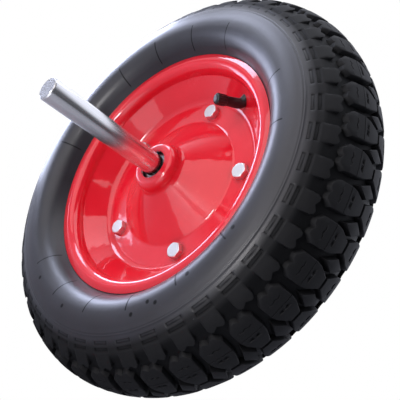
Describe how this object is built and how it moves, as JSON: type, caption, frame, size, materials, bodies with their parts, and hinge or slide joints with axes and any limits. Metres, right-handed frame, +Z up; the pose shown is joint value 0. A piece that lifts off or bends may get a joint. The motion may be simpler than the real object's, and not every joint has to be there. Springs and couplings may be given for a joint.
{
  "type": "wheelbarrow wheel",
  "caption": "Pneumatic wheelbarrow wheel: block-tread tyre on a bolted red pressed-steel rim with ball bearings and a long plain axle.",
  "frame": {"origin": "centre of the wheel, on the axle's axis and in the plane where the rim halves meet", "axes": "+Y along the axle away from the valve side, +Z up as the wheel stands in a barrow, +X to the right seen from the valve side"},
  "size_m": [0.3858, 0.31, 0.386],
  "materials": {
    "tyre_rubber": "moulded rubber, satin side wall",
    "tube_rubber": "matt",
    "valve_rubber": "satin",
    "valve_brass": "nickel plated",
    "cap_plastic": "moulded",
    "red_paint": "gloss red powder coat",
    "zinc": "bright zinc plate",
    "bright_steel": "bright drawn bar",
    "plain_steel": "plain",
    "bearing_steel": "ground",
    "cage_plastic": "moulded",
    "seal_rubber": "matt"
  },
  "bodies": {
    "axle": {"axle": "bright_steel", "bearing_spacer": "plain_steel", "front_snap_ring": "plain_steel", "back_snap_ring": "plain_steel", "front_bearing_inner_ring": "bearing_steel", "back_bearing_inner_ring": "bearing_steel"},
    "wheel": {"tyre": "tyre_rubber", "inner_tube": "tube_rubber", "valve_stem": "valve_rubber", "valve_sleeve": "valve_brass", "valve_core": "valve_brass", "valve_cap": "cap_plastic", "rim_front_half": "red_paint", "rim_back_half": "red_paint", "rim_bolts": "zinc", "rim_washers": "zinc", "rim_nuts": "zinc", "front_bearing_outer_ring": "bearing_steel", "back_bearing_outer_ring": "bearing_steel", "front_bearing_outer_seal": "seal_rubber", "front_bearing_inner_seal": "seal_rubber", "back_bearing_outer_seal": "seal_rubber", "back_bearing_inner_seal": "seal_rubber"},
    "front_cage": {"front_bearing_cage": "cage_plastic", "front_bearing_balls": "bearing_steel"},
    "back_cage": {"back_bearing_cage": "cage_plastic", "back_bearing_balls": "bearing_steel"}
  },
  "joints": [
    {"name": "wheel_spin", "type": "hinge", "parent": "axle", "child": "wheel", "pos_m": [0, 0, 0], "axis": [0, 1, 0], "continuous": true},
    {"name": "front_cage_spin", "type": "hinge", "parent": "axle", "child": "front_cage", "pos_m": [0, -0.0256, 0], "axis": [0, 1, 0], "continuous": true},
    {"name": "back_cage_spin", "type": "hinge", "parent": "axle", "child": "back_cage", "pos_m": [0, 0.0256, 0], "axis": [0, 1, 0], "continuous": true}
  ],
  "couplings": [
    {"joint": "front_cage_spin", "follows": "wheel_spin", "ratio": 0.6031},
    {"joint": "back_cage_spin", "follows": "wheel_spin", "ratio": 0.6031}
  ]
}
